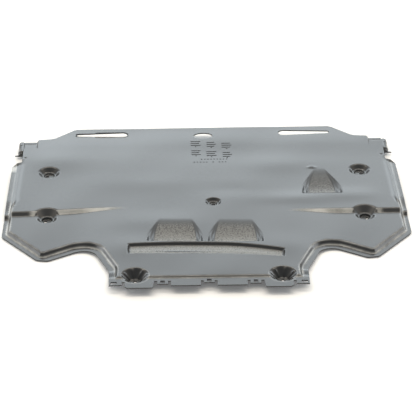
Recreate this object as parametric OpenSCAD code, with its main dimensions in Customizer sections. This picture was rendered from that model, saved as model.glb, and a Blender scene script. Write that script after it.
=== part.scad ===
// Engine splash shield: one moulded plastic sheet, road side up.
// X runs across the car, Y from the near tongue to the far edge, Z up.
// The origin is on the resting surface, under the middle of the panel.

/* [Panel] */
// Width across the wings
panel_w = 996; // [940:2:1060]
// Depth from the near edge to the far edge
panel_d = 784; // [760:2:840]
// Thickness of the sheet
sheet_t = 2.5; // [2:0.1:3.5]
// Height of the panel's top face above the resting surface
panel_z = 22.5; // [21:0.5:32]
// Width across the far end of the two straight sides
far_w = 970; // [950:2:990]
// Width of the straight part of the far edge
far_edge_w = 670; // [640:2:700]
// Depth lost from the far edge to the shoulders beside it
shoulder_d = 56; // [48:1:64]
// Half width at which the shoulder starts
shoulder_x = 384; // [376:1:396]
// Rise of one far corner, and drop of the other, from warping
corner_warp = 2.5; // [0:0.5:5]

/* [Tongue and wings] */
// Width of the tongue between the wheel cut-outs
tongue_w = 469; // [450:1:490]
// Distance from the near edge to the tongue's corners
tongue_inset = 13; // [8:1:16]
// Straight length of the tongue's sides
tongue_side = 76; // [60:1:90]
// Half width at the top of a wheel cut-out
cut_x = 281; // [270:1:292]
// Distance from the near edge to the top of a cut-out
cut_y = 207; // [195:1:215]
// Corner radius of a cut-out
cut_r = 40; // [28:1:46]
// Half width at the inner foot of a wing
wing_in_x = 381; // [374:1:388]
// Half width at the outer foot of a wing
wing_out_x = 408; // [402:1:416]
// Distance from the near edge to the foot of a wing
wing_y = 149; // [140:1:158]
// Distance from the near edge to the wide corner of a wing
wide_y = 261; // [250:1:270]

/* [Rim] */
// Height of the wall between the panel and the flange
wall_h = 10; // [6:0.5:13]
// Height of that wall along the tongue's near edge
near_wall_h = 5; // [3:0.5:8]
// Run of the wall, which gives it its draft
wall_run = 6; // [4:0.5:8]
// Flange width along the straight sides
side_flange = 11.5; // [9:0.5:14]
// Flange width along the wings
wing_flange = 14.5; // [11:0.5:17]
// Flange width along the outer side of a cut-out
cut_flange = 19; // [15:0.5:21]
// Flange width along the tongue's sides
tongue_flange = 15; // [12:0.5:18]
// Flange width along the tongue's near edge
near_flange = 28; // [22:0.5:32]

/* [Joggle] */
// Height of the step across each side
step_h = 8; // [4:0.5:9]
// Run of the step
step_run = 10; // [7:0.5:14]
// Distance from the near edge to the foot of the step
step_y = 341; // [335:1:345]
// Half width at which the step begins
step_start_x = 195; // [180:1:210]
// Half width at which the step is at full height
step_full_x = 340; // [320:1:355]

/* [Fastener cups] */
// Half spacing of the far pair
far_cup_x = 393.5; // [388:0.5:400]
// Distance from the near edge to the far pair
far_cup_y = 548; // [530:1:560]
// Half spacing of the middle pair
mid_cup_x = 390; // [384:0.5:400]
// Distance from the near edge to the middle pair
mid_cup_y = 334; // [328:1:338]
// Rim radius of the far and middle cups
cup_r = 26; // [22:0.5:28]
// Seat radius of the far and middle cups
cup_seat_r = 15; // [12:0.5:17]
// Depth of the far cups below the panel
far_cup_depth = 13; // [10:0.5:16]
// Depth of the middle cups below the lowered panel round them
mid_cup_depth = 12; // [9:0.5:13]
// Distance from a cup's middle to its bolt hole
bolt_shift = 5; // [0:0.5:6]
// Half spacing of the near pair
near_cup_x = 173; // [165:0.5:180]
// Distance from the near edge to the near pair
near_cup_y = 52; // [48:1:56]
// Rim radius of the near pair
near_cup_r = 30; // [26:0.5:32]
// Seat radius of the near pair
near_seat_r = 13; // [11:0.5:15]
// Depth of the near pair below the panel
near_cup_depth = 20; // [14:0.5:21]
// Flutes round the wall of a near cup
flutes = 7; // [5:1:9]
// How far a flute presses into the wall
flute_in = 2.2; // [0:0.1:3]
// Place of the middle cup across the panel
hub_x = 18.5; // [0:0.5:30]
// Distance from the near edge to the middle cup
hub_y = 392; // [385:1:400]
// Rim radius of the middle cup
hub_r = 18; // [15:0.5:20]
// Seat radius of the middle cup
hub_seat_r = 10; // [8:0.5:12]
// Depth of the middle cup
hub_depth = 7; // [5:0.5:9]
// Diameter of the bolt holes
bolt_d = 8.5; // [6:0.1:10]

/* [Ducts] */
// Half spacing of the two ramp ducts
duct_x = 73; // [70:0.5:78]
// Distance from the near edge to the far end of the ramp ducts
duct_far_y = 309; // [300:1:315]
// Length of a ramp duct
duct_len = 105; // [95:1:110]
// Half width of a ramp duct at its far end
duct_far_w = 40; // [34:0.5:44]
// Half width of a ramp duct at its near end
duct_near_w = 67; // [62:0.5:69]
// Depth of a ramp duct at its near end
duct_depth = 10; // [7:0.5:12]
// Place of the side duct across the panel
scoop_x = 291.5; // [285:0.5:296]
// Distance from the near edge to the far end of the side duct
scoop_far_y = 556; // [548:1:562]
// Length of the side duct
scoop_len = 125; // [115:1:132]
// Half width of the side duct at its far end
scoop_far_w = 13; // [10:0.5:16]
// Half width of the side duct at its near end
scoop_near_w = 50; // [46:0.5:52]
// Depth of the side duct at its near end
scoop_depth = 11; // [7:0.5:12]
// Slope of a duct's side walls, as run for each millimetre of depth
duct_draft = 0.9; // [0.4:0.1:1.2]
// Turn of the ramp ducts and the groove about the panel's middle, in degrees
row_turn = 1.6; // [0:0.1:2]

/* [Groove] */
// Length of the stiffening groove
groove_len = 372; // [340:1:380]
// Width of the groove
groove_w = 36; // [30:0.5:38]
// Depth of the groove
groove_depth = 9; // [6:0.5:11]
// Distance from the near edge to the middle of the groove
groove_y = 161; // [155:1:165]

/* [Far openings] */
// Distance from the far edge to the middle of the two long slots
slot_y = 34; // [30:0.5:38]
// Half width at the inner end of a slot
slot_in_x = 198; // [190:1:205]
// Half width at the outer end of a slot
slot_out_x = 330; // [318:1:335]
// Radius of a slot's inner end
slot_big_r = 13; // [10:0.5:14]
// Radius of a slot's outer end
slot_small_r = 6; // [4:0.5:8]
// Length of the middle hole
oval_w = 49; // [42:0.5:54]
// Width of the middle hole
oval_d = 30; // [24:0.5:34]
// Distance from the far edge to the middle hole
oval_y = 46; // [40:0.5:50]

/* [Near clips] */
// Half spacing of the outer clip tabs
clip_x = 108.5; // [104:0.5:112]
// Width of a clip tab
clip_w = 25; // [22:0.5:28]
// Width of the slit on each side of a clip tab
slit_w = 7; // [5:0.5:9]
// Distance from the near edge to the end of an outer clip tab
clip_end = 16; // [12:0.5:18]
// Distance from the near edge to the end of the middle clip tab
mid_clip_end = 21; // [16:0.5:23]
// Distance from the near edge to the end of the slits
slit_end = 29; // [25:0.5:32]
// Distance from the near edge to the two middle edge runs
run_inset = 9; // [5:0.5:11]
// Side of the square hole in a clip tab
clip_hole = 10; // [8:0.5:12]
// Half width at the slit of a corner tab
corner_slit_x = 200; // [196:0.5:204]

/* [Ears] */
// Half width of the panel beside the ears
ear_x = 465; // [462:0.5:469]
// Distance from the far edge to the near end of an ear's shelf
shelf_y = 104; // [98:1:110]
// Width of an ear's shelf
shelf_w = 36; // [30:0.5:40]
// Depth of an ear's shelf below the panel
shelf_drop = 4.5; // [3:0.5:6]
// Distance from the far edge to the side notch
notch_y = 152; // [146:1:156]
// Length of the side notch
notch_len = 26; // [20:1:30]
// Outer radius of an ear's curled lug
lug_r = 9; // [7:0.5:10]
// Length of an ear's curled lug
lug_len = 62; // [50:1:70]

/* [Hidden] */

near_y = -panel_d / 2;
far_y = panel_d / 2;
half_w = panel_w / 2;
step_foot_y = near_y + step_y;
step_top_y = step_foot_y + step_run;
notch_near_y = far_y - notch_y - notch_len;
notch_far_y = far_y - notch_y;
tongue_y = near_y + tongue_inset;
edge_d = [0, 0, 0, 0, 0, 0, 0];

// How far a form runs on past the face that it cuts or joins
past = 6;
// Depth at which what is pressed under the sheet meets it
weld = sheet_t / 2;

// Corners of the edge from the tongue to the wide corner: x, y, radius, steps round the corner
rim = [
    [tongue_w / 2, near_y, 5, 1],
    [tongue_w / 2, tongue_y + tongue_side, 40, 2],
    [cut_x, near_y + cut_y, cut_r, 5],
    [wing_in_x, near_y + wing_y, 16, 2],
    [wing_out_x, near_y + wing_y + 4, 16, 2],
    [half_w, near_y + wide_y, 26, 4]
];
// Flange width of the edge that leads to each corner, and of the side after them
flange = [tongue_inset + near_flange, tongue_flange, tongue_flange, cut_flange, wing_flange, wing_flange, side_flange];
// Steps along the edge that leads to each corner
rim_steps = [5, 1, 2, 2, 1, 3];
last = len(rim) - 1;

function mix(a, b, t) = a + (b - a) * t;
function unit(v) = v / norm(v);
function left_of(v) = [-v.y, v.x];
function flat(p) = [p.x, p.y];
function ease(t) = t <= 0 ? 0 : t >= 1 ? 1 : t * t * (3 - 2 * t);
function turned(v, a) = [v.x * cos(a) - v.y * sin(a), v.x * sin(a) + v.y * cos(a)];

// The corner before and after each corner of the rim
function rim_point(k) =
    k < 0 ? [0, near_y] : k > last ? [far_w / 2, far_y] : flat(rim[k]);
function edge_dir(k) = unit(rim_point(k) - rim_point(k - 1));

// A corner moved in by its two edges' own distances
function moved_corner(k, d) =
    let (n1 = left_of(edge_dir(k)), n2 = left_of(edge_dir(k + 1)))
    let (w = n1.x * n2.y - n1.y * n2.x)
    flat(rim[k]) + [d[k] * n2.y - d[k + 1] * n1.y, n1.x * d[k + 1] - n2.x * d[k]] / w;

// Points round a moved corner; an inner corner's radius grows as it moves in
function rim_arc(k, d) =
    let (u = edge_dir(k), v = edge_dir(k + 1), steps = rim[k][3])
    let (turn = atan2(u.x * v.y - u.y * v.x, u.x * v.x + u.y * v.y))
    let (s = sign(turn), r = max(rim[k][2] - s * (d[k] + d[k + 1]) / 2, 2))
    let (p = moved_corner(k, d), start = p - u * r * tan(abs(turn) / 2))
    let (hub = start + left_of(u) * r * s)
    [for (i = [0:steps]) hub + turned(start - hub, turn * i / steps)];

// Half of the near edge, from the middle to the middle of the wide corner, moved in by d
function half_rim(d) = concat(
    [[0, near_y + d[0]]],
    [for (k = [0:last])
        let (a = k == 0 ? [0, near_y + d[0]] : rim_arc(k - 1, d)[rim[k - 1][3]])
        let (arc = rim_arc(k, d))
        each concat(
            [for (i = [1:1:rim_steps[k] - 1]) mix(a, arc[0], i / rim_steps[k])],
            [for (i = [0:k == last ? rim[k][3] / 2 : rim[k][3]]) arc[i]]
        )]
);
half_n = len(half_rim(flange)) - 1;
grid_x = 2 * half_n;

// The straight side, moved in by the last distance
function side_x(y, d) =
    let (p = rim_point(last), u = edge_dir(last + 1))
    p.x - d[last + 1] / u.y + (y - p.y) * u.x / u.y;

// Rows of the sheet: up to the step's foot, over the step, and on to the far edge
near_rows = 4;
step_rows = 2;
far_rows = concat(
    [for (i = [1:3]) mix(step_top_y, notch_near_y - 12, i / 3)],
    [notch_near_y + 14, mix(notch_near_y, far_y, 0.5), far_y]
);
row_y = concat(
    [for (i = [0:step_rows]) mix(step_foot_y, step_top_y, i / step_rows)],
    far_rows
);
grid_y = near_rows + len(row_y) - 1;

// Height of the panel's top face
function step_fall(x) = step_h * ease((abs(x) - step_start_x) / (step_full_x - step_start_x));
function warp(x, y) = corner_warp * x / half_w * ease((y - notch_near_y) / (far_y - notch_near_y));
function panel_top(x, y) =
    panel_z + warp(x, y) - step_fall(x) * min(max((step_top_y - y) / step_run, 0), 1);

// Drop from the panel to the flange
function rim_drop(p) =
    p.y > notch_near_y ? 0
    : mix(near_wall_h, wall_h, ease((p.y - tongue_y - near_flange) / (tongue_side - near_flange)));

// A point of the sheet's grid, with the crease moved in by d
function near_edge(half, i) =
    i < half_n ? [-half[half_n - i].x, half[half_n - i].y] : half[i - half_n];
function column(half, i) =
    let (p = near_edge(half, i), w = half[half_n].x)
    mix(p.x / w, (i - half_n) / half_n, 0.5);
function side_corner(half, d, j) =
    let (p = half[half_n], y = mix(p.y, step_foot_y, j / near_rows))
    [mix(p.x, side_x(y, d), ease(2 * j / near_rows)), y];
function grid_point(half, d, i, j) =
    j >= near_rows
    ? let (y = row_y[j - near_rows] - (j == grid_y ? d[last + 1] / 5 : 0)) [column(half, i) * side_x(y, d), y]
    : i == 0 ? let (q = side_corner(half, d, j)) [-q.x, q.y]
    : i == grid_x ? side_corner(half, d, j)
    : mix(near_edge(half, i), [column(half, i) * side_x(step_foot_y, d), step_foot_y], j / near_rows);

// Points of the closed border, in order: near edge, right side, far edge, left side
loop_n = 2 * (grid_x + grid_y);
function loop_cell(k) =
    k < grid_x ? [k, 0]
    : k < grid_x + grid_y ? [grid_x, k - grid_x]
    : k < 2 * grid_x + grid_y ? [2 * grid_x + grid_y - k, grid_y]
    : [0, loop_n - k];
function loop_points(half, d) =
    [for (k = [0:loop_n - 1]) let (c = loop_cell(k)) grid_point(half, d, c.x, c.y)];

// One face of the sheet as points: outer border, foot of the wall, then the whole panel
function face_points(shift, lower) =
    let (foot_d = [for (f = flange) f + shift])
    let (crease_d = [for (f = foot_d) f + wall_run])
    let (crease_half = half_rim(crease_d))
    let (outer = loop_points(half_rim(edge_d), edge_d))
    let (foot = loop_points(half_rim(foot_d), foot_d))
    let (crease = loop_points(crease_half, crease_d))
    let (height = [for (k = [0:loop_n - 1])
        panel_top(crease[k].x, crease[k].y) - rim_drop(foot[k]) - lower])
    concat(
        [for (k = [0:loop_n - 1]) [outer[k].x, outer[k].y, height[k]]],
        [for (k = [0:loop_n - 1]) [foot[k].x, foot[k].y, height[k]]],
        [for (j = [0:grid_y], i = [0:grid_x])
            let (p = grid_point(crease_half, crease_d, i, j))
            [p.x, p.y, panel_top(p.x, p.y) - lower]]
    );

// Number of a border point in the panel's own grid
function crease_index(k) =
    let (c = loop_cell(k % loop_n)) 2 * loop_n + c.y * (grid_x + 1) + c.x;

// Faces of the upper side; the lower side has the same, turned over
face_quads = concat(
    [for (k = [0:loop_n - 1]) let (m = (k + 1) % loop_n) [k, k + loop_n, m + loop_n, m]],
    [for (k = [0:loop_n - 1])
        [k + loop_n, crease_index(k), crease_index(k + 1), (k + 1) % loop_n + loop_n]],
    [for (j = [0:grid_y - 1], i = [0:grid_x - 1])
        let (a = 2 * loop_n + j * (grid_x + 1) + i, b = a + grid_x + 1)
        [a, b, b + 1, a + 1]]
);

// The pressed sheet before its edge is trimmed: equal thickness over wall and panel
module pressed_sheet() {
    upper = face_points(0, 0);
    lower = face_points(sheet_t * tan(atan(wall_h / wall_run) / 2), sheet_t);
    n = len(upper);
    polyhedron(
        points = concat(upper, lower),
        faces = concat(
            face_quads,
            [for (q = face_quads) [q[3] + n, q[2] + n, q[1] + n, q[0] + n]],
            [for (k = [0:loop_n - 1]) let (m = (k + 1) % loop_n) [k, m, m + n, k + n]]
        ),
        convexity = 8
    );
}

// What is cut off beyond the shoulder, the ear's side and the notch, on the right
far_corner = [
    [side_x(notch_near_y, edge_d) + past, notch_near_y - 18],
    [side_x(notch_near_y, edge_d) - 11, notch_near_y],
    [ear_x, notch_near_y + 1],
    [ear_x, far_y - shoulder_d],
    [shoulder_x + 40, far_y - shoulder_d],
    [shoulder_x + 12, far_y - shoulder_d + 3],
    [shoulder_x, far_y - shoulder_d + 9],
    [far_edge_w / 2 + 4, far_y - 5],
    [far_edge_w / 2 - 2, far_y + 0.5],
    [far_edge_w / 2 - 2, far_y + past],
    [half_w + past, far_y + past],
    [half_w + past, notch_near_y - 18]
];
// What is cut off along the right half of the near edge, from the middle outwards
near_cut = [
    [0, near_y + mid_clip_end],
    [clip_w / 2, near_y + mid_clip_end],
    [clip_w / 2, near_y + slit_end],
    [clip_w / 2 + slit_w, near_y + slit_end],
    [clip_w / 2 + slit_w, near_y + run_inset],
    [clip_x - clip_w / 2 - slit_w, near_y + run_inset],
    [clip_x - clip_w / 2 - slit_w, near_y + slit_end],
    [clip_x - clip_w / 2, near_y + slit_end],
    [clip_x - clip_w / 2, near_y + clip_end],
    [clip_x + clip_w / 2, near_y + clip_end],
    [clip_x + clip_w / 2, near_y + slit_end],
    [clip_x + clip_w / 2 + slit_w, near_y + slit_end],
    [clip_x + clip_w / 2 + slit_w + 4, near_y - 0.5],
    [corner_slit_x - slit_w - 3, near_y - 0.5],
    [corner_slit_x - slit_w / 2, near_y + 5],
    [corner_slit_x - slit_w / 2, near_y + slit_end - 4],
    [corner_slit_x + slit_w / 2, near_y + slit_end - 4],
    [corner_slit_x + slit_w / 2, tongue_y],
    [tongue_w / 2 + past, tongue_y],
    [tongue_w / 2 + past, near_y - past],
    [0, near_y - past]
];

module through_cut(points) {
    translate([0, 0, -past]) linear_extrude(height = panel_z + 4 * past) polygon(points);
}

// A cup's profile, from the axis out to the rim and up to the given top
function cup_profile(rim_r, seat_r, depth, top) = [
    [0, -depth],
    [seat_r, -depth],
    [seat_r + 2, -depth + 1.5],
    [rim_r - 2, -1.5],
    [rim_r, 0],
    [rim_r, top],
    [0, top]
];

module cup_space(rim_r, seat_r, depth) {
    rotate_extrude($fn = 48) polygon(cup_profile(rim_r, seat_r, depth, 3 * past));
}

// The same cup one sheet thickness larger, up to a flat top inside the sheet
module cup_shell(rim_r, seat_r, depth, top = weld) {
    translate([0, 0, -sheet_t])
        rotate_extrude($fn = 48)
            polygon(cup_profile(rim_r + sheet_t, seat_r + sheet_t / 2, depth, top));
}

// What lies under the top face where it falls towards the near edge
module under_fall(x, foot_y, top_y, fall) {
    reach = 4 * near_cup_r;
    high_z = panel_z - weld;
    low_z = high_z - fall;
    translate([x, 0, 0])
        rotate([90, 0, 90])
            linear_extrude(height = reach, center = true)
                polygon([
                    [foot_y - reach, -past], [foot_y - reach, low_z], [foot_y, low_z],
                    [top_y, high_z], [top_y + reach, high_z], [top_y + reach, -past]
                ]);
}

module both_sides() {
    children();
    mirror([1, 0, 0]) children();
}

module bolt_hole(x, y) {
    translate([x, y, -past]) cylinder(h = panel_z + past, d = bolt_d, $fn = 32);
}

// Fluted wall of a near cup, as a ring of points at one height
function fluted_ring(r, dip, z) =
    [for (a = [0:7.5:359]) let (q = r - dip * (1 - cos(a * flutes)) / 2) [q * cos(a), q * sin(a), z]];

module ring_loft(rings) {
    n = len(rings[0]);
    m = len(rings);
    polyhedron(
        points = [for (r = rings) each r],
        faces = concat(
            [[for (i = [0:n - 1]) i]],
            [for (k = [0:m - 2], i = [0:n - 1])
                let (a = k * n + i, b = k * n + (i + 1) % n) [a, a + n, b + n, b]],
            [[for (i = [n - 1:-1:0]) (m - 1) * n + i]]
        )
    );
}

module near_cup_space() {
    ring_loft([
        fluted_ring(near_seat_r, flute_in / 2, -near_cup_depth),
        fluted_ring(near_seat_r + 3, flute_in, -near_cup_depth + 3),
        fluted_ring(near_cup_r - 3, flute_in, -3),
        fluted_ring(near_cup_r, 0, 0),
        fluted_ring(near_cup_r, 0, 3 * past)
    ]);
}

// A ramp duct: level with the panel at its far end, deep at its near end.
// grow makes it larger all round for the shell under it.
module duct(len, far_half, near_half, depth, grow, top) {
    stations = 8;
    function half_at(t) = mix(far_half, near_half, pow(sin(90 * t), 1.3)) + grow;
    function floor_at(t) = -depth * sin(90 * min(t * 1.1, 1)) - grow + 0.02;
    rows = [for (i = [0:stations])
        let (t = i / stations, w = half_at(t), z = floor_at(t), y = mix(grow, -len - grow, t))
        let (b = max(w + z * duct_draft, 1))
        [[-w - top * duct_draft / 4, y, top], [-b, y, z], [b, y, z], [w + top * duct_draft / 4, y, top]]];
    polyhedron(
        points = [for (r = rows) each r],
        faces = concat(
            [[0, 1, 2, 3]],
            [for (k = [0:stations - 1], i = [0:3])
                let (a = 4 * k + i, b = 4 * k + (i + 1) % 4) [a, a + 4, b + 4, b]],
            [[for (i = [3:-1:0]) 4 * stations + i]]
        )
    );
}

// Section of the groove: steep far wall, floor that rises to the near edge
module groove(grow, top) {
    w = groove_w / 2 + grow;
    lip = 0.6;
    translate([0, 0, -grow])
        rotate([90, 0, 90])
            linear_extrude(height = groove_len + 2 * grow, center = true)
                polygon([
                    [-w, top],
                    [-w, lip],
                    [w - 14, -groove_depth],
                    [w - 6, -groove_depth],
                    [w - 1.5, -2],
                    [w, lip],
                    [w, top]
                ]);
}

module ramp_ducts_and_groove(grow, top) {
    translate([0, 0, panel_z]) rotate(-row_turn) {
        for (side = [-1, 1])
            translate([side * duct_x, near_y + duct_far_y, 0])
                duct(duct_len, duct_far_w, duct_near_w, duct_depth, grow, top);
        translate([0, near_y + groove_y, 0]) groove(grow, top + grow);
    }
}

module side_duct(grow, top) {
    translate([scoop_x, near_y + scoop_far_y, panel_z])
        duct(scoop_len, scoop_far_w, scoop_near_w, scoop_depth, grow, top);
}

// A long slot with a round inner end and a narrow outer end
module long_slot() {
    lean = asin((slot_big_r - slot_small_r) / (slot_out_x - slot_in_x - slot_big_r - slot_small_r));
    big = [for (a = [90 - lean:10:270 + lean]) [slot_in_x + slot_big_r, 0] + slot_big_r * [cos(a), sin(a)]];
    small = [for (a = [-90 + lean:10:90 - lean])
        [slot_out_x - slot_small_r, 0] + slot_small_r * [cos(a), sin(a)]];
    translate([0, far_y - slot_y, -past])
        linear_extrude(height = panel_z + 4 * past) polygon(concat(big, small));
}

module far_openings() {
    both_sides() long_slot();
    translate([0, far_y - oval_y, -past])
        linear_extrude(height = panel_z + 4 * past)
            polygon([for (a = [0:10:359]) [oval_w / 2 * cos(a), oval_d / 2 * sin(a)]]);
}

module clip_holes() {
    for (x = [-clip_x, clip_x])
        translate([x - clip_hole / 2, near_y + clip_end + 4, -past])
            cube([clip_hole, clip_hole, panel_z + 3 * past]);
    translate([-clip_hole / 2, near_y + mid_clip_end + 4, -past])
        cube([clip_hole, clip_hole, panel_z + 3 * past]);
    both_sides()
        translate([(corner_slit_x + tongue_w / 2) / 2 - 4, tongue_y + 5, -past])
            cube([14, 9, panel_z + 3 * past]);
}

// Sunk shelf of an ear, open towards the lug
module shelf(grow, top) {
    translate([ear_x - shelf_w - grow, far_y - shelf_y - grow, panel_z - shelf_drop - grow])
        cube([shelf_w + 2 * past, shelf_y, shelf_drop + grow + top]);
}

// Curled lug at the outer end of a shelf, open underneath
module lug() {
    translate([ear_x + lug_r - 4, far_y - shoulder_d - lug_len - 4, panel_z - shelf_drop - lug_r + 2])
        rotate([-90, 0, 0])
            difference() {
                cylinder(h = lug_len, r = lug_r, $fn = 32);
                translate([0, 0, -past]) cylinder(h = lug_len + 2 * past, r = lug_r - sheet_t, $fn = 32);
                translate([-2 * lug_r, 2, -past]) cube([4 * lug_r, 2 * lug_r, lug_len + 2 * past]);
            }
}

cup_places = [[far_cup_x, near_y + far_cup_y], [mid_cup_x, near_y + mid_cup_y], [near_cup_x, near_y + near_cup_y]];
mid_fall = step_fall(mid_cup_x);
near_foot_y = near_y + flange[0];

module at_cup(i) {
    translate([cup_places[i].x, cup_places[i].y, panel_z]) children();
}

// Everything pressed below the sheet, one thickness larger than its hollow
module pressings() {
    both_sides() {
        at_cup(0) cup_shell(cup_r, cup_seat_r, far_cup_depth);
        intersection() {
            at_cup(1) cup_shell(cup_r, cup_seat_r, mid_cup_depth + mid_fall, sheet_t);
            under_fall(mid_cup_x, step_foot_y, step_top_y, mid_fall);
        }
        intersection() {
            at_cup(2) cup_shell(near_cup_r, near_seat_r, near_cup_depth, sheet_t);
            under_fall(near_cup_x, near_foot_y, near_foot_y + wall_run, near_wall_h);
        }
        shelf(sheet_t, -weld);
    }
    translate([hub_x, near_y + hub_y, panel_z]) cup_shell(hub_r, hub_seat_r, hub_depth);
    ramp_ducts_and_groove(sheet_t, -weld);
    side_duct(sheet_t, -weld);
}

module hollows() {
    both_sides() {
        at_cup(0) cup_space(cup_r, cup_seat_r, far_cup_depth);
        at_cup(1) cup_space(cup_r, cup_seat_r, mid_cup_depth + mid_fall);
        at_cup(2) near_cup_space();
        bolt_hole(far_cup_x + bolt_shift, cup_places[0].y);
        bolt_hole(mid_cup_x + bolt_shift, cup_places[1].y);
        bolt_hole(near_cup_x, cup_places[2].y);
        shelf(0, 3 * past);
    }
    translate([hub_x, near_y + hub_y, panel_z]) cup_space(hub_r, hub_seat_r, hub_depth);
    bolt_hole(hub_x, near_y + hub_y);
    ramp_ducts_and_groove(0, 3 * past);
    side_duct(0, 3 * past);
}

module splash_shield() {
    color("dimgray") {
        difference() {
            union() {
                pressed_sheet();
                pressings();
            }
            hollows();
            far_openings();
            clip_holes();
            both_sides() {
                through_cut(far_corner);
                through_cut(near_cut);
            }
        }
        both_sides() lug();
    }
}

splash_shield();
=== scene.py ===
import math
import bpy
import numpy as np
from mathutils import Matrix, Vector
from mathutils.kdtree import KDTree
from mathutils.geometry import delaunay_2d_cdt


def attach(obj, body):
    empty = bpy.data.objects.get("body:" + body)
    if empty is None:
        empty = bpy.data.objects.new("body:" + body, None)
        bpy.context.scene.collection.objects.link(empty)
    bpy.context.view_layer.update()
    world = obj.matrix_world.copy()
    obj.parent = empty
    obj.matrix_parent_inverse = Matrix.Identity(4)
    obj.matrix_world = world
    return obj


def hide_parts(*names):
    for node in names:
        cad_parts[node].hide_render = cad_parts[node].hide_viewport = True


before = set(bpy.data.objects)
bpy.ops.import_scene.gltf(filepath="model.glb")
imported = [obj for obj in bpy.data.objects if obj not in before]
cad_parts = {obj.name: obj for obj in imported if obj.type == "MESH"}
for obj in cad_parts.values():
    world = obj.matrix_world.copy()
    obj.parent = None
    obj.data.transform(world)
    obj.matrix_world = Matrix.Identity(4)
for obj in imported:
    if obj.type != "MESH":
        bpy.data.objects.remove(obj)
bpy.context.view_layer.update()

# The shield itself: one thin sheet of black plastic, pressed into a shallow tray.
# Its rim, joggle, bolt cups, ducts and groove are all one skin of the same thickness.
# It lies road side up on the undersides of its near and middle cups.
NEAR, FAR, HALF_W, SIDE_FAR_X = -392.0, 392.0, 497.2, 485.0
SHEET, PANEL_Z = 2.5, 22.5
STEP_FOOT, STEP_TOP, STEP_H = -51.0, -41.0, 8.0
NOTCH = 214.0
# Corners of the right half of the edge: x, y, radius
RIM = [(234.5, NEAR, 5), (234.5, -303, 40), (281, -185, 40), (381, -243, 16), (408, -239, 16), (HALF_W, -131, 26)]
FLANGE = [41, 15, 15, 19, 14.5, 14.5, 11.5]
WALL_RUN, WALL_FILLET = 6.0, 1.8


def ease(t):
    t = np.clip(t, 0, 1)
    return t * t * (3 - 2 * t)


def mix(a, b, t):
    return a + (b - a) * t


def soft_ramp(u, run, fillet):
    """0 before u = 0 and 1 after u = run, with both bends rounded."""
    def bend(v):
        return np.where(v < -fillet, 0, np.where(v > fillet, v, (v + fillet) ** 2 / (4 * fillet)))
    return (bend(u) - bend(u - run)) / run


def soft_min(a, b, k):
    h = np.clip(0.5 + 0.5 * (b - a) / k, 0, 1)
    return mix(b, a, h) - k * h * (1 - h)


def soft_max(a, b, k):
    return -soft_min(-a, -b, k)


def rim_edge(k):
    before = (0, NEAR) if k == 0 else RIM[k - 1][:2]
    after = RIM[k][:2] if k < len(RIM) else (SIDE_FAR_X, FAR)
    v = np.subtract(after, before).astype(float)
    return v / np.hypot(*v)


def rim_line(inset, far=FAR, step=math.radians(7)):
    """Right half of the edge, each run moved in by its own inset, with true arcs at the corners."""
    line = [(0.0, NEAR + inset[0])]
    for k, (x, y, radius) in enumerate(RIM):
        u, v = rim_edge(k), rim_edge(k + 1)
        n1, n2 = np.array([-u[1], u[0]]), np.array([-v[1], v[0]])
        w = n1[0] * n2[1] - n1[1] * n2[0]
        d1, d2 = inset[k], inset[k + 1]
        p = np.array([x + (d1 * n2[1] - d2 * n1[1]) / w, y + (n1[0] * d2 - n2[0] * d1) / w])
        turn = math.atan2(u[0] * v[1] - u[1] * v[0], u @ v)
        side = math.copysign(1, turn)
        r = max(radius - side * (d1 + d2) / 2, 2)
        start = p - u * r * math.tan(abs(turn) / 2)
        hub = start + n1 * r * side
        steps = max(2, round(abs(turn) / step))
        for i in range(steps + 1):
            a = turn * i / steps
            c, s = math.cos(a), math.sin(a)
            q = start - hub
            line.append((hub[0] + q[0] * c - q[1] * s, hub[1] + q[0] * s + q[1] * c))
    v = rim_edge(len(RIM))
    x = SIDE_FAR_X - inset[-1] / v[1] + (far - FAR) * v[0] / v[1]
    return np.array(line + [(x, far)])


def whole(half):
    """A right half from the near middle to the far end, with its mirror image, as one closed loop."""
    left = half[::-1] * (-1, 1)
    return np.concatenate([half, left[1 if abs(half[-1, 0]) < 1e-6 else 0:-1]])


def spaced(line, step, closed=False):
    """The same line with points added so that none lie further apart than the step."""
    points = np.concatenate([line, line[:1]]) if closed else line
    out = []
    for a, b in zip(points[:-1], points[1:]):
        n = max(1, math.ceil(math.dist(a, b) / step))
        out += [mix(a, b, i / n) for i in range(n)]
    return np.array(out if closed else out + [points[-1]])


def rounded(corners, step=math.radians(12)):
    """Corners x, y, radius of an open line, with arcs in place of the corners."""
    out = [np.array(corners[0][:2], float)]
    for (ax, ay, _), (x, y, radius), (bx, by, _) in zip(corners, corners[1:], corners[2:]):
        p = np.array([x, y], float)
        u, v = p - (ax, ay), np.array([bx, by]) - p
        u, v = u / np.hypot(*u), v / np.hypot(*v)
        turn = math.atan2(u[0] * v[1] - u[1] * v[0], u @ v)
        if radius == 0 or abs(turn) < 0.02:
            out.append(p)
            continue
        start = p - u * radius * math.tan(abs(turn) / 2)
        hub = start + np.array([-u[1], u[0]]) * radius * math.copysign(1, turn)
        steps = max(2, round(abs(turn) / step))
        for i in range(steps + 1):
            a = turn * i / steps
            c, s = math.cos(a), math.sin(a)
            q = start - hub
            out.append(hub + (q[0] * c - q[1] * s, q[0] * s + q[1] * c))
    out.append(np.array(corners[-1][:2], float))
    return np.array(out)


def distance(points, line, closed=True):
    """Shortest distance from each point to the line."""
    a = line if closed else line[:-1]
    b = np.roll(line, -1, 0) if closed else line[1:]
    ab = b - a
    best = np.full(len(points), 1e9)
    for i in range(0, len(points), 4000):
        p = points[i:i + 4000, None]
        t = np.clip(((p - a) * ab).sum(2) / (ab ** 2).sum(1), 0, 1)
        best[i:i + 4000] = np.sqrt((((p - a) - t[..., None] * ab) ** 2).sum(2)).min(1)
    return best


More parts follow.
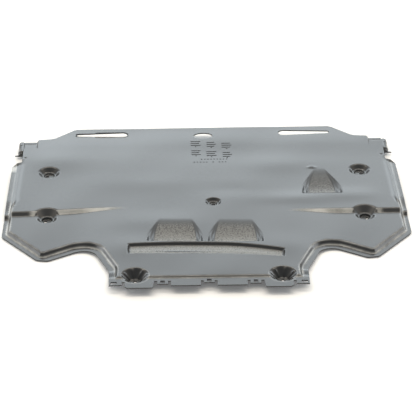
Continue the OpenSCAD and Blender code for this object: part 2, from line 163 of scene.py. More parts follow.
def inside(points, loop):
    x, y = points[:, 0], points[:, 1]
    hit = np.zeros(len(points), bool)
    for (ax, ay), (bx, by) in zip(loop, np.roll(loop, -1, 0)):
        if ay != by:
            cross = (ay > y) != (by > y)
            hit ^= cross & (x < (bx - ax) * (y - ay) / (by - ay) + ax)
    return hit


# Inner line of the flange and outer line of the panel, closed far beyond the far edge
foot_line = whole(rim_line(FLANGE, far=700))
crease_line = whole(rim_line([f + WALL_RUN for f in FLANGE], far=700))

FAR_CUP, MID_CUP, NEAR_CUP, CENTRE_CUP = (393.5, 156), (390, -58), (173, -340), (18.5, 0)
DUCT = dict(x=73, far=-83, length=105, half=(40, 67), depth=11, bank=11, dull=0.8)
SIDE_DUCT = dict(x=291.5, far=164, length=125, half=(13, 50), depth=11, bank=11, dull=0.45)
GROOVE_Y, GROOVE_HALF, GROOVE_SHIFT, GROOVE_DEPTH = -231, 188, 2.5, 6.5
ROW_TURN = math.radians(1.6)
EAR_X, SHELF_X, SHELF_Y, SHELF_DROP = 465, 429, 288, 4.5


def cup_height(x, y, place, rim_r, seat_r, depth, flutes=0):
    """Height of a cup's own surface: seat, ledge and a cone that goes on rising past the rim."""
    dx, dy = x - place[0], y - place[1]
    r = np.hypot(dx, dy)
    if flutes:
        waist = ease((r - seat_r + 3) / 5) * ease((rim_r + 1 - r) / 9)
        r = r + 3.4 * waist * (1 - np.abs(np.cos(flutes / 2 * np.arctan2(dy, dx)))) ** 1.5
        cone = PANEL_Z - 1.5 + (r - rim_r + 2) * (depth - 3) / (rim_r - seat_r - 4)
        return soft_max(cone, np.full_like(cone, PANEL_Z - depth), 1.6)
    ledge = 0.7 * depth
    cone = (r - rim_r) * ledge / (rim_r - seat_r - 2)
    cone = soft_max(cone, np.full_like(cone, -ledge), 1.4)
    return PANEL_Z + cone - (depth - ledge) * (1 - soft_ramp(r - seat_r + 3.5, 2.2, 0.7))


def duct_fall(x, y, duct):
    """Height of a duct below the panel, about its far middle, and how far a point is in its floor."""
    length, half, depth = duct["length"], duct["half"], duct["depth"]
    t = -y / length
    w = mix(half[0], half[1], np.sin(np.pi / 2 * np.clip(t, 0, 1)) ** 1.3)
    floor = depth * ease(t * 1.08)
    bank = 4 + duct["bank"] * floor / depth
    share = (w + 1 - np.abs(x)) / bank
    wall = 0.54 * soft_ramp(share, 0.4, 0.08) + 0.46 * soft_ramp(share - 0.64, 0.36, 0.07)
    lip = soft_ramp(y + length + 1.5, 2.4, 0.8)
    matt = ease((share - 1) * 6) * lip * ease(3.2 * t - 0.2) * (0.5 + 0.5 * ease(1.6 * t - 0.5)) * duct["dull"]
    return -floor * wall * lip, matt


def groove_fall(x, y):
    """Height of the groove below the panel, with a far wall that bows out, and its floor."""
    s = np.clip((x - GROOVE_SHIFT) / GROOVE_HALF, -1.2, 1.2)
    far = 37 - 10 * s * ease(s * 1.2) - 18 * np.abs(s) ** 2.6 + 8 * np.clip(-s, 0, 1) ** 3
    near = -15 - 3 * s * ease(s) - 9.5 * s ** 2 + 6 * np.clip(-s, 0, 1) ** 2
    floor = GROOVE_DEPTH * (0.45 + 0.55 * ease((y - near) / 26))
    wall = soft_ramp(far - y, 6, 1.8)
    brim = soft_ramp(y - near, 3, 1)
    ends = soft_ramp((1 - np.abs(s)) * GROOVE_HALF, 5, 1.5)
    matt = ease((far - y - 6.5) / 2.5) * brim * ease(((1 - np.abs(s)) * GROOVE_HALF - 6) / 3)
    streak = np.exp(-((s + 0.32) / 0.34) ** 2 - ((y - near - 17) / 7) ** 2)
    return -floor * wall * brim * ends, 0.75 * matt * (1 - 0.9 * streak)


def turned(x, y, a):
    return x * math.cos(a) - y * math.sin(a), x * math.sin(a) + y * math.cos(a)


# Soft swells of a thin sheet that left its mould warm: x, y, reach along x, reach along y, height
SWELLS = [(-400, 215, 130, 50, 1.1), (190, 190, 110, 45, 1.0), (215, 15, 90, 28, 0.9), (350, 30, 90, 30, 0.9),
          (-120, -95, 110, 45, 0.9), (185, -212, 60, 48, 0.9), (-185, -212, 60, 48, 1.0), (0, 330, 300, 60, 0.5),
          (-150, 95, 120, 40, 0.5), (60, 60, 60, 30, -0.5), (20, 262, 80, 60, -0.8), (-500, 120, 60, 90, -0.8),
          (500, 120, 60, 90, -0.8)]


def sway(x, y):
    rise = 0.3 * np.sin(x / 74 + 0.6) * np.sin(y / 58 - x / 210 + 1.1) + 0.12 * np.sin(x / 31 - y / 47)
    for x0, y0, wide, deep, height in SWELLS:
        rise = rise + height * np.exp(-((x - x0) / wide) ** 2 - ((y - y0) / deep) ** 2)
    return rise - 1.0 * ease((y - 290) / 100)


def step_shift(x):
    """How far the joggle of the left side drifts towards the far edge as it fades out."""
    return 21 * ease((x + 490) / 330) * (x < 0)


def to_rim(x, y):
    """Distance from the rim of the nearest near cup."""
    return np.abs(np.hypot(np.abs(x) - NEAR_CUP[0], y - NEAR_CUP[1]) - 34)


def top_height(points, floors=False):
    """Height of the road side at each point of the plan, in millimetres."""
    x, y = points[:, 0], points[:, 1]
    lift = 2.5 * x / 498 * ease((y - NOTCH) / (FAR - NOTCH))
    fall = STEP_H * ease((np.abs(x) - 195) / 145)
    panel = PANEL_Z + lift - fall * (1 - soft_ramp(y - STEP_FOOT - step_shift(x), STEP_TOP - STEP_FOOT, 2.5))
    panel = panel + sway(x, y) * ease((HALF_W - 20 - np.abs(x)) / 90) * ease((y + 372) / 60)
    panel = soft_min(panel, np.full_like(panel, 24.1), 0.3)

    across = np.full(len(points), 50.0)
    near_rim = distance(points, crease_line) < 60
    p = points[near_rim]
    to_foot, to_crease = distance(p, foot_line), distance(p, crease_line)
    out, within = ~inside(p, foot_line), inside(p, crease_line)
    u = np.where(out, -to_foot, np.where(within, WALL_RUN + to_crease,
                                          WALL_RUN * to_foot / np.maximum(to_foot + to_crease, 1e-6)))
    across[near_rim] = u
    drop = mix(3.2, 10, ease((y + 351) / 48)) * (1 - np.clip((y - 202) / 26, 0, 1))
    gentle = ease((y + 30) / 60)
    drop = drop * (1 - 0.3 * gentle)
    z = panel - drop * (1 - soft_ramp(across, WALL_RUN + 12 * gentle, WALL_FILLET + 3.2 * gentle))

    xx, yy = turned(x, y, ROW_TURN)
    falls = [duct_fall(xx - side * DUCT["x"], yy - DUCT["far"], DUCT) for side in (-1, 1)]
    falls.append(groove_fall(xx, yy - GROOVE_Y))
    falls.append(duct_fall(x - SIDE_DUCT["x"], y - SIDE_DUCT["far"], SIDE_DUCT))
    if floors:
        band = ease((np.abs(x) - 190) / 90) * ease((438 - np.abs(x)) / 16)
        band = band * ease((np.hypot(np.abs(x) - MID_CUP[0], y - MID_CUP[1]) - 31) / 3)
        joggle = ease((1 - np.abs(y - STEP_FOOT - step_shift(x) - 5) / 6.5) * 2.5) * band
        return np.maximum.reduce([f[1] for f in falls] + [joggle]), across, to_rim(x, y), joggle
    for fall, _ in falls:
        z = z + fall
    z = z + 1.2 * np.exp(-((x - 273) / 9) ** 2 - ((y - 168) / 4.5) ** 2)
    z = z - 1.1 * np.exp(-((np.abs(x) - 457) ** 2 + (y - 235) ** 2) / 7)
    shelf = soft_ramp(np.abs(x) - SHELF_X, 2.5, 0.8) * soft_ramp(y - SHELF_Y, 2.5, 0.8)
    z = z - SHELF_DROP * shelf - 3.2 * shelf * ease((y - 318) / 12)

    for side in (-1, 1):
        for place, r, seat, depth, flutes in ((FAR_CUP, 27, 15, 13, 0), (MID_CUP, 34, 15, 20, 0), (NEAR_CUP, 33, 13, 20, 7)):
            z = soft_min(z, cup_height(side * x, y, place, r, seat, depth, flutes), 2.2)
    return np.minimum(soft_min(z, cup_height(x, y, CENTRE_CUP, 19.5, 11, 9), 1.0), 24.1)


def sloped(points, height, h=0.3):
    """Height at each point with its slopes along x and y."""
    z = height(points)
    zx = (height(points + (h, 0)) - height(points - (h, 0))) / (2 * h)
    zy = (height(points + (0, h)) - height(points - (0, h))) / (2 * h)
    return z, zx, zy


# The trimmed edge: clip tabs along the tongue, then the rim, the side notch and the shoulder
right_edge = [(0, -371, 0), (12.5, -371, 1), (12.5, -363, 1), (19.5, -363, 1), (19.5, -383, 2), (89, -383, 2),
              (89, -363, 1), (96, -363, 1), (96, -376, 1), (121, -376, 1), (121, -363, 1), (128, -363, 1),
              (131.5, NEAR, 3), (190, NEAR, 3), (196.5, -387, 1), (196.5, -367, 1), (203.5, -367, 1),
              (203.5, -379, 1)]
rim = rim_line([0] * 7)
rim = rim[(rim[:, 1] > -379) & (rim[:, 1] < 190)]
side_at_notch = SIDE_FAR_X - (NOTCH - FAR) * (HALF_W - SIDE_FAR_X) / (FAR + 131)
far_edge = [(side_at_notch + 0.3, 200, 0), (side_at_notch - 11, NOTCH, 3), (EAR_X, NOTCH + 1, 2), (EAR_X, 336, 2), (424, 336, 6),
            (396, 339, 8), (384, 345, 8), (339, 387, 8), (330, FAR, 4), (0, FAR, 0)]
half_edge = np.concatenate([rounded(right_edge), [(233.5, -379)], rim, rounded(far_edge)])
edge_line = spaced(whole(half_edge), 3.0, closed=True)


def slot_line():
    lean = math.asin(7 / (330 - 198 - 19))
    big = [(211 + 13 * math.cos(a), 358 + 13 * math.sin(a)) for a in np.linspace(math.pi / 2 - lean, 1.5 * math.pi + lean, 22)]
    small = [(324 + 6 * math.cos(a), 358 + 6 * math.sin(a)) for a in np.linspace(-math.pi / 2 + lean, math.pi / 2 - lean, 10)]
    return np.array(big + small)


def ring(x, y, rx, ry, n):
    a = np.arange(n) * 2 * math.pi / n
    return np.stack([x + rx * np.cos(a), y + ry * np.sin(a)], 1)


def block(x, y, w, d, r=1.0):
    c = [(x, y, 0), (x + w, y, r), (x + w, y + d, r), (x, y + d, r), (x, y, r), (x + w / 2, y, 0)]
    c[0] = (x + w / 2, y, 0)
    return rounded(c)[:-1]


hole_lines = [slot_line(), slot_line() * (-1, 1), ring(0, 346, 24.5, 15, 40)]
hole_lines += [block(x - 5, y, 10, 10) for x, y in ((-108.5, -372), (108.5, -372), (0, -367))]
hole_lines += [block(215.25, -374, 14, 9), block(-229.25, -374, 14, 9)]
for side in (-1, 1):
    hole_lines += [ring(side * (FAR_CUP[0] + 5), FAR_CUP[1], 4.25, 4.25, 24),
                   ring(side * (MID_CUP[0] + 5), MID_CUP[1], 4.25, 4.25, 24),
                   ring(side * NEAR_CUP[0], NEAR_CUP[1], 4.25, 4.25, 24)]
hole_lines.append(ring(*CENTRE_CUP, 4.25, 4.25, 24))
hole_lines = [spaced(h, 3.0, closed=True) for h in hole_lines]


def inset(loop, amount):
    """A closed loop moved to its own left by a small amount."""
    t = np.roll(loop, -1, 0) - np.roll(loop, 1, 0)
    t /= np.hypot(t[:, 0], t[:, 1])[:, None]
    return loop + amount * np.stack([-t[:, 1], t[:, 0]], 1)


def feature_points(fine):
    """Points that follow each pressed form, closer together where it bends."""
    sets = []
    rows = (-1.3, -0.5, 0.5, 1.3, 3, 4.7, 5.5, 6.5, 7.3) if fine else (-1, 1, 5, 7)
    for u in rows:
        half = rim_line([f + u for f in FLANGE], far=236)
        half = spaced(half[1:], 3.2 if fine else 7)
        mid = spaced(np.array([(0, half[0, 1]), half[0]]), 3.2 if fine else 7)[:-1]
        line = np.concatenate([mid, half])
        sets += [line, line[1:] * (-1, 1)]
    step = 1.0 if fine else 2.6
    turns = 72 if fine else 28
    for place, rim_r, seat in ((FAR_CUP, 27, 15), (MID_CUP, 34, 15), (NEAR_CUP, 33, 13)):
        for side in (-1, 1):
            for r in np.arange(seat - 5, rim_r + 5, step):
                sets.append(ring(side * place[0], place[1], r, r, turns))
    for r in np.arange(6, 22, step):
        sets.append(ring(*CENTRE_CUP, r, r, turns // 2 + 8))
    for spec, centres, turn in ((DUCT, (-73, 73), -ROW_TURN), (SIDE_DUCT, (291.5,), 0)):
        w = spec["half"][1] + 4
        length = spec["length"]
        across = np.arange(-w, w + 0.1, 1.7 if fine else 5)
        down = np.concatenate([np.arange(8, -length + 3, -3.0 if fine else -7), -length + np.arange(2.4, -2, -0.6 if fine else -1.4)])
        gx, gy = np.meshgrid(across, down)
        for cx in centres:
            x, y = turned(gx.ravel() + cx, gy.ravel() + spec["far"], turn)
            sets.append(np.stack([x, y], 1))
    along = np.concatenate([np.arange(-196, -176, 1.2), np.arange(-176, 176, 3.5), np.arange(176, 196, 1.2)]) if fine else np.arange(-196, 197, 7)
    gx, gy = np.meshgrid(along, np.arange(-32, 41, 1.2 if fine else 3.2))
    x, y = turned(gx.ravel(), gy.ravel() + GROOVE_Y, -ROW_TURN)
    sets.append(np.stack([x, y], 1))
    gx, gy = np.meshgrid(np.arange(-480, 481, 4.5 if fine else 11), np.arange(-56, -12, 1.3 if fine else 4))
    sets.append(np.stack([gx.ravel(), gy.ravel()], 1))
    for x, y, wide in ((-457, 235, 5), (457, 235, 5), (273, 169, 18)):
        gx, gy = np.meshgrid(np.arange(x - wide, x + wide + 0.1, 1.0 if fine else 3), np.arange(y - 8, y + 8, 1.0 if fine else 3))
        sets.append(np.stack([gx.ravel(), gy.ravel()], 1))
    for side in (-1, 1):
        for gx, gy in (np.meshgrid(np.arange(426, 435, 0.8 if fine else 2), np.arange(284, 336, 3)),
                       np.meshgrid(np.arange(426, 465, 3), np.arange(285, 294, 0.8 if fine else 2))):
            sets.append(np.stack([side * gx.ravel(), gy.ravel()], 1))
    gap = 5.5 if fine else 13
    gx, gy = np.meshgrid(np.arange(-497, 498, gap), np.arange(-390, 391, gap))
    gx = gx + (np.arange(gx.shape[0]) % 2 * gap / 2)[:, None]
    sets.append(np.stack([gx.ravel(), gy.ravel()], 1))
    return sets


def thinned(sets, gap):
    """All sets in order, without the points that crowd one of an earlier set."""
    taken, kept = {}, []
    for s in sets:
        cells = np.floor(s / gap).astype(int)
        mine = []
        for p, (i, j) in zip(s, cells):
            near = [q for a in (-1, 0, 1) for b in (-1, 0, 1) for q in taken.get((i + a, j + b), ())]
            if all((p[0] - q[0]) ** 2 + (p[1] - q[1]) ** 2 > gap * gap for q in near):
                mine.append((i, j, p))
        for i, j, p in mine:
            taken.setdefault((i, j), []).append(p)
        kept += [p for _, _, p in mine]
    return np.array(kept)


def skin(fine):
    """Plan points and triangles of one side of the sheet; the edge points come first."""
    loops = [edge_line] + hole_lines
    borders = np.concatenate(loops)
    fixed = [borders]
    if fine:
        fixed += [inset(edge_line, 0.8)] + [inset(h, -0.8) for h in hole_lines]
    fill = thinned(feature_points(fine), 0.55 if fine else 1.6)
    if fine:
        base = fill
    fill = fill[inside(fill, edge_line)]
    for h in hole_lines:
        fill = fill[~inside(fill, h)]
    tree = KDTree(len(borders))
    for i, p in enumerate(borders):
        tree.insert((*p, 0), i)
    tree.balance()
    fill = fill[[tree.find((*p, 0))[2] > (2.1 if fine else 2.6) for p in fill]]
    points = np.concatenate(fixed + [fill])
    edges, start = [], 0
    for loop in loops:
        n = len(loop)
        edges += [(start + i, start + (i + 1) % n) for i in range(n)]
        start += n
    verts, _, faces, *_ = delaunay_2d_cdt([Vector(p) for p in points], edges, [], 0, 1e-4, False)
    verts = np.array([(v.x, v.y) for v in verts])
    faces = np.array([f for f in faces if len(f) == 3])
    middle = verts[faces].mean(1)
    keep = inside(middle, edge_line)
    for h in hole_lines:
        keep &= ~inside(middle, h)
    return verts, faces[keep], len(borders)


top_plan, top_faces, border_n = skin(True)
under_plan, under_faces, _ = skin(False)
print("sheet triangles", len(top_faces), len(under_faces), "border", border_n)
top_z, top_zx, top_zy = sloped(top_plan, top_height)
under_z, under_zx, under_zy = sloped(under_plan, top_height, 0.8)
under_z = np.maximum(under_z - SHEET * np.minimum(np.sqrt(1 + under_zx ** 2 + under_zy ** 2), 2.6), 0)
top_z[:border_n] -= 0.45

points = np.concatenate([np.column_stack([top_plan, top_z]), np.column_stack([under_plan, under_z])]) / 1000
shift = len(top_plan)
sides, start = [], 0
for loop in [edge_line] + hole_lines:
    n = len(loop)
    for i in range(n):
        a, b = start + i, start + (i + 1) % n
        sides += [(a, a + shift, b + shift), (a, b + shift, b)]
    start += n
sides = np.array(sides)
faces = np.concatenate([top_faces, under_faces[:, ::-1] + shift, sides])
# CDT faces may come in either turn: count each skin's faces that turn the wrong way
def facing(plan, tri):
    a, b, c = plan[tri[:, 0]], plan[tri[:, 1]], plan[tri[:, 2]]
    return (b[:, 0] - a[:, 0]) * (c[:, 1] - a[:, 1]) - (b[:, 1] - a[:, 1]) * (c[:, 0] - a[:, 0])


print("turned faces", (facing(top_plan, top_faces) < 0).sum(), (facing(under_plan, under_faces) < 0).sum())
sheet_mesh = bpy.data.meshes.new("shield_sheet")
sheet_mesh.from_pydata(points.tolist(), [], faces.tolist())
sheet_mesh.validate()
sheet_mesh.polygons.foreach_set("use_smooth", np.ones(len(sheet_mesh.polygons), bool))
corner_normals = np.zeros((len(faces), 3, 3))
top_n = np.column_stack([-top_zx, -top_zy, np.ones(len(top_zx))])
top_n /= np.linalg.norm(top_n, axis=1)[:, None]
under_n = -np.column_stack([-under_zx, -under_zy, np.ones(len(under_zx))])
under_n /= np.linalg.norm(under_n, axis=1)[:, None]
border_out = []
for k, loop in enumerate([edge_line] + hole_lines):
    border_out.append(loop - inset(loop, 1.0 if k == 0 else -1.0))
border_out = np.concatenate(border_out)
tilted = top_n.copy()
tilted[:border_n, :2] += border_out * 0.9
tilted /= np.linalg.norm(tilted, axis=1)[:, None]
nt, nu = len(top_faces), len(under_faces)
corner_normals[:nt] = tilted[top_faces]
corner_normals[nt:nt + nu] = under_n[under_faces[:, ::-1]]
side_n = np.column_stack([border_out, np.zeros(len(border_out))])
corner_normals[nt + nu:] = side_n[sides % shift % border_n] if False else side_n[np.where(sides >= shift, sides - shift, sides)]
sheet_mesh.normals_split_custom_set(corner_normals.reshape(-1, 3).tolist())
dull_share, across, cup_rim, joggle = top_height(top_plan, floors=True)
# Painted highlights: light lines along the foot and the crease of the rim wall and a light ring round each cup rim
# stand in for glints of the lamps; a lighter band along the joggle is added to them.
painted_highlight_share = 0.9 * np.exp(-((across + 0.2) / 1.5) ** 2) + 0.55 * np.exp(-((across - WALL_RUN - 0.3) / 1.2) ** 2)
painted_highlight_share *= (top_plan[:, 1] < 205) * (0.35 + 0.65 * ease((top_plan[:, 1] + 350) / 30))
painted_highlight_share *= 1 - 0.75 * ease((top_plan[:, 1] + 20) / 60)
painted_highlight_share += 0.22 * np.exp(-(cup_rim / 0.9) ** 2) + 0.8 * joggle
# Painted reflection: a light patch on the flange at the far left corner, where a tilted facet would catch the light.
painted_corner_reflection = (top_plan[:, 0] < -478) * ease((top_plan[:, 1] - 166) / 12)
painted_highlight_share += 0.75 * painted_corner_reflection
for name, share in (("dull", dull_share), ("pale", np.clip(painted_highlight_share, 0, 1))):
    field = sheet_mesh.attributes.new(name, "FLOAT", "POINT")
    field.data.foreach_set("value", np.concatenate([share, np.zeros(len(under_plan))]))
sheet = bpy.data.objects.new("shield_sheet", sheet_mesh)
bpy.context.scene.collection.objects.link(sheet)


class Socket:
    """A shader socket that takes part in plain arithmetic."""

    def __init__(self, plan, out):
        self.plan, self.out = plan, out

    def _maths(self, operation, a, b=None):
        return self.plan.node("ShaderNodeMath", {"operation": operation}, {0: a} if b is None else {0: a, 1: b})

    def __add__(self, other):
        return self._maths("ADD", self, other)

    def __sub__(self, other):
        return self._maths("SUBTRACT", self, other)

    def __rsub__(self, other):
        return self._maths("SUBTRACT", other, self)

    def __mul__(self, other):
        return self._maths("MULTIPLY", self, other)

    def __gt__(self, other):
        return self._maths("GREATER_THAN", self, other)

    def __pow__(self, other):
        return self._maths("POWER", self, other)

    def __truediv__(self, other):
        return self._maths("DIVIDE", self, other)

    __radd__, __rmul__ = __add__, __mul__


class Finish:
    """A material whose nodes are asked for by type, settings and socket values."""

    def __init__(self, name):
        self.material = bpy.data.materials.new(name)
        self.material.use_nodes = True
        self.tree = self.material.node_tree
        self.tree.nodes.clear()

    def node(self, kind, settings=None, sockets=None, out=0):
        made = self.tree.nodes.new(kind)
        for key, value in (settings or {}).items():
            if key == "stops":
                ramp = made.color_ramp.elements
                while len(ramp) < len(value):
                    ramp.new(0.5)
                for stop, (place, colour) in zip(ramp, value):
                    stop.position, stop.color = place, colour
            else:
                setattr(made, key, value)
        for key, value in (sockets or {}).items():
            if isinstance(value, Socket):
                self.tree.links.new(value.out, made.inputs[key])
            else:
                made.inputs[key].default_value = value
        return Socket(self, made.outputs[out]) if made.outputs else made


black_plastic = Finish("black_moulded_plastic")
place = black_plastic.node("ShaderNodeTexCoord", out=3)
cloud = black_plastic.node("ShaderNodeTexNoise", sockets={"Vector": place, "Scale": 9.0, "Detail": 3.0})
grain = black_plastic.node("ShaderNodeTexNoise", sockets={"Vector": place, "Scale": 420.0, "Detail": 3.0})
matt = black_plastic.node("ShaderNodeAttribute", {"attribute_name": "dull"}, out=2)
speckle = black_plastic.node("ShaderNodeTexNoise", sockets={"Vector": place, "Scale": 300.0, "Detail": 1.0})
matt = matt * (speckle * 2.6 - 0.5)
matt = black_plastic.node("ShaderNodeClamp", sockets={0: matt})
# Painted highlights: the pale attribute turns the rim's crease and foot lines, the cup rims, the far left corner and
# the joggle band towards light grey, in streaks.
painted_highlights = black_plastic.node("ShaderNodeAttribute", {"attribute_name": "pale"}, out=2)
along = black_plastic.node("ShaderNodeTexNoise", sockets={"Vector": place, "Scale": 24.0, "Detail": 2.0})
painted_highlights = black_plastic.node("ShaderNodeClamp", sockets={0: painted_highlights * (along * 2.6 - 0.35)})
sheen = 0.13 + cloud * 0.08 + grain * 0.05 + matt * 0.28
tone = black_plastic.node("ShaderNodeMix", {"data_type": "RGBA"},
                          {0: cloud, 6: (0.026, 0.027, 0.029, 1), 7: (0.040, 0.041, 0.043, 1)}, out=2)
tone = black_plastic.node("ShaderNodeMix", {"data_type": "RGBA"}, {0: matt, 6: tone, 7: (0.225, 0.221, 0.204, 1)}, out=2)
tone = black_plastic.node("ShaderNodeMix", {"data_type": "RGBA"}, {0: painted_highlights, 6: tone, 7: (0.46, 0.46, 0.445, 1)}, out=2)
bump = black_plastic.node("ShaderNodeBump", sockets={
    "Strength": 0.2, "Distance": 0.0006, "Height": grain * (0.3 + matt * 2.5)})
surface = black_plastic.node("ShaderNodeBsdfPrincipled", sockets={
    "Base Color": tone, "Roughness": sheen, "Normal": bump, "IOR": 1.5})
black_plastic.node("ShaderNodeOutputMaterial", sockets={0: surface})
sheet_mesh.materials.append(black_plastic.material)
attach(sheet, "root")
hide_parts("splash_shield")

# The lugs of the two ears: a roll at each outer end, curled from the same sheet, with a long
# dent in its outer shoulder and a short spur at its near end.
def curled_lug(side):
    hub, start, length, turns, rows = (470, 11), 270.0, 62.0, 40, 40
    verts, faces = [], []
    for j in range(rows + 1):
        y = start + length * j / rows
        rounding = 0.55 + 0.45 * ease(min(y - start, start + length - y) / 8)
        for i in range(turns):
            a = 360 * i / turns
            dent = ease(min(a + 30, 105 - a) / 35) * ease(min(y - 279, 312 - y) / 8)
            r = 9 * rounding - 1.6 * dent
            verts.append((side * (hub[0] + r * math.cos(math.radians(a))) / 1000, y / 1000,
                          (hub[1] + r * math.sin(math.radians(a))) / 1000))
    for j in range(rows):
        for i in range(turns):
            a, b = j * turns + i, j * turns + (i + 1) % turns
            faces.append((a, b, b + turns, a + turns))
    faces += [tuple(range(turns))[::-1], tuple(rows * turns + i for i in range(turns))]
    first = len(verts)
    for x, y in ((474, start), (487, start + 1), (487, start + 3), (474, start + 8)):
        verts += [(side * x / 1000, y / 1000, z / 1000) for z in (6.0, 8.2)]
    faces += [tuple(first + k for k in f) for f in ((0, 1, 3, 2), (2, 3, 5, 4), (4, 5, 7, 6), (6, 7, 1, 0), (1, 7, 5, 3), (0, 2, 4, 6))]
    if side > 0:
        faces = [f[::-1] for f in faces]
    return verts, faces


lug_verts, lug_faces = [], []
for side in (-1, 1):
    verts, faces = curled_lug(side)
    lug_faces += [tuple(k + len(lug_verts) for k in f) for f in faces]
    lug_verts += verts
lug_mesh = bpy.data.meshes.new("ear_lugs")
lug_mesh.from_pydata(lug_verts, [], lug_faces)
lug_mesh.validate()
lug_mesh.polygons.foreach_set("use_smooth", [len(f) == 4 and max(f) < 41 * 40 for f in lug_faces[:len(lug_mesh.polygons)]])
lug_mesh.materials.append(black_plastic.material)
lugs = bpy.data.objects.new("ear_lugs", lug_mesh)
bpy.context.scene.collection.objects.link(lugs)
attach(lugs, "root")

# Small raised ribs in six plain blocks, with two dotted rows below them: moulding marks that
# form no letters, raised from the same sheet.
def rib(x, y, long, wide, tall=1.0):
    """A low bar with sloping sides that follows the sheet's face."""
    ring_out = np.array([(x, y), (x + long, y), (x + long, y + wide), (x, y + wide)], float)
    slant = 1.3
    ring_in = ring_out + slant * np.array([(1, 1), (-1, 1), (-1, -1), (1, -1)])
    low, high = top_height(ring_out) - 0.15, np.minimum(top_height(ring_in) + tall, 24.1)
    verts = [tuple(v) for v in np.column_stack([ring_out, low]) / 1000] + \
        [tuple(v) for v in np.column_stack([ring_in, high]) / 1000]
    return verts, [(0, 1, 5, 4), (1, 2, 6, 5), (2, 3, 7, 6), (3, 0, 4, 7), (4, 5, 6, 7), (3, 2, 1, 0)]


marks = []
for column, left in enumerate((-33, 7, 47)):
    for row in range(2):
        top = 312 - 5.4 * column - 49 * row
        for line in range(3):
            short = (3 * column + 5 * row + 2 * line) % 4
            marks.append((left + 1.5 * (short % 2), top - 10.3 * line, 26 - 2 * short, 4.6))
        marks.append((left + 11, top - 27.5, 4, 4))
for row, (start, count, y) in enumerate(((-8, 9, 217), (-27, 11, 201.5))):
    for i in range(count):
        if row == 0 or i not in (5, 7):
            marks.append((start + 8 * i, y, 4.4, 3.4))
mark_verts, mark_faces = [], []
for spec in marks:
    verts, faces = rib(*spec)
    mark_faces += [tuple(k + len(mark_verts) for k in f) for f in faces]
    mark_verts += verts
mark_mesh = bpy.data.meshes.new("moulding_marks")
mark_mesh.from_pydata(mark_verts, [], mark_faces)
mark_mesh.materials.append(black_plastic.material)
mark_ribs = bpy.data.objects.new("moulding_marks", mark_mesh)
bpy.context.scene.collection.objects.link(mark_ribs)
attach(mark_ribs, "root")

# The floor: a plain pale studio table that shows white to the camera but keeps the shadow.
floor_mesh = bpy.data.meshes.new("floor")
floor_mesh.from_pydata([(-6, -6, 0), (6, -6, 0), (6, 6, 0), (-6, 6, 0)], [], [(0, 1, 2, 3)])
floor = bpy.data.objects.new("floor", floor_mesh)
bpy.context.scene.collection.objects.link(floor)
table = Finish("pale_table")
ray = table.node("ShaderNodeLightPath")
seen = [Socket(table, ray.out.node.outputs[name]) for name in ("Is Camera Ray", "Is Glossy Ray", "Is Transmission Ray")]
seen = table.node("ShaderNodeMath", {"operation": "MINIMUM"}, {0: seen[0] + seen[1] + seen[2], 1: 1.0})
lit = table.node("ShaderNodeBsdfDiffuse", sockets={0: (0.96, 0.96, 0.96, 1)})
white = table.node("ShaderNodeEmission", sockets={0: (1, 1, 1, 1), 1: 1.0})
table_face = table.node("ShaderNodeMixShader", sockets={0: seen * 0.13, 1: lit, 2: white})
table.node("ShaderNodeOutputMaterial", sockets={0: table_face})
floor_mesh.materials.append(table.material)

# The light: a studio sky that is brightest low behind the sheet, and a warm strip lamp overhead.
world = bpy.data.worlds.new("studio")
bpy.context.scene.world = world
world.use_nodes = True
sky = Finish.__new__(Finish)
sky.tree = world.node_tree
sky.tree.nodes.clear()
way = sky.node("ShaderNodeTexCoord", out=0)
parts = sky.node("ShaderNodeSeparateXYZ", sockets={0: way})
side_way, back_way, up_way = [Socket(sky, parts.out.node.outputs[i]) for i in range(3)]
angle = sky.node("ShaderNodeMath", {"operation": "ARCTAN2"}, {0: up_way, 1: back_way})
SKY_TOP = 5.0
SKY = [(0, 0.2, 0), (10, 0.4, 0), (16, 2.6, 0), (24, 4.7, 0), (31, 3.1, 0.05), (35, 2.3, 0.1), (42, 1.5, 0.3), (52, 1.0, 0.5),
       (66, 1.9, 1), (84, 1.9, 1), (102, 0.6, 0.6), (120, 0.3, 0.2), (180, 0.3, 0)]
stops = []
for degrees, level, warmth in SKY:
    cool, warm = (0.875, 0.955, 1.0), (1.0, 0.92, 0.80)
    stops.append((degrees / 180, tuple(mix(c, w, warmth) * level / SKY_TOP for c, w in zip(cool, warm)) + (1,)))
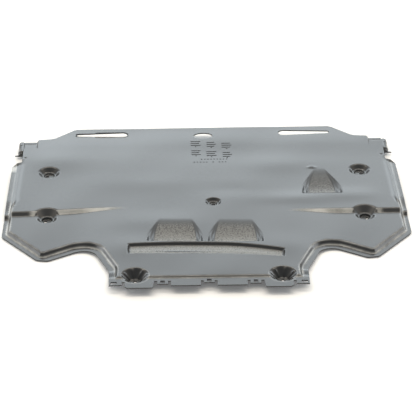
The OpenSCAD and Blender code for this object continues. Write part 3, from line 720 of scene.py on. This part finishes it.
ramp = sky.node("ShaderNodeValToRGB", {"stops": stops}, {0: angle / math.pi})


def rise_between(value, low, high):
    return sky.node("ShaderNodeMapRange", {"interpolation_type": "SMOOTHSTEP"}, {0: value, 1: low, 2: high})


aside = sky.node("ShaderNodeMath", {"operation": "ABSOLUTE"}, {0: side_way})
fade = 1 - rise_between(aside, 0.45, 0.95) * 0.7
window = rise_between(aside, 0.62, 0.85) * rise_between(back_way, -0.3, 0.0) * (1 - rise_between(up_way, 0.28, 0.42))
glow = sky.node("ShaderNodeBackground", sockets={0: ramp, 1: fade * SKY_TOP})
panes = sky.node("ShaderNodeBackground", sockets={0: (0.95, 0.98, 1.0, 1), 1: window * 3.2})
glow = sky.node("ShaderNodeAddShader", sockets={0: glow, 1: panes})
sky.node("ShaderNodeOutputWorld", sockets={0: glow})


def lamp(name, place, aim, size, radiance, colour=(1, 1, 1)):
    light = bpy.data.lights.new(name, "AREA")
    light.shape, light.size, light.size_y = "RECTANGLE", size[0], size[1]
    light.energy, light.color = radiance * math.pi * size[0] * size[1], colour
    holder = bpy.data.objects.new(name, light)
    holder.location = place
    holder.rotation_euler = (Vector(aim) - Vector(place)).to_track_quat("-Z", "Y").to_euler()
    bpy.context.scene.collection.objects.link(holder)


lamp("strip_lamp", (0, 1.25, 3.8), (0, 0, 0), (5.0, 0.42), 9.0, (1.0, 0.92, 0.8))

# The camera: a long lens low in front of the near edge, as in the photograph.
camera_data = bpy.data.cameras.new("camera")
camera_data.sensor_width = 36
camera_data.lens = 36 * 2100 / 415
camera_data.clip_end = 50
camera = bpy.data.objects.new("camera", camera_data)
yaw, rise = math.radians(1.30), math.radians(30)
look = Vector((math.sin(yaw) * math.cos(rise), math.cos(yaw) * math.cos(rise), -math.sin(rise)))
target = Vector((0.0035, -0.030, 0.0225))
camera.location = target - look * 5.166
camera.rotation_euler = look.to_track_quat("-Z", "Y").to_euler()
bpy.context.scene.collection.objects.link(camera)
bpy.context.scene.camera = camera
bpy.context.scene.view_settings.view_transform = "Standard"
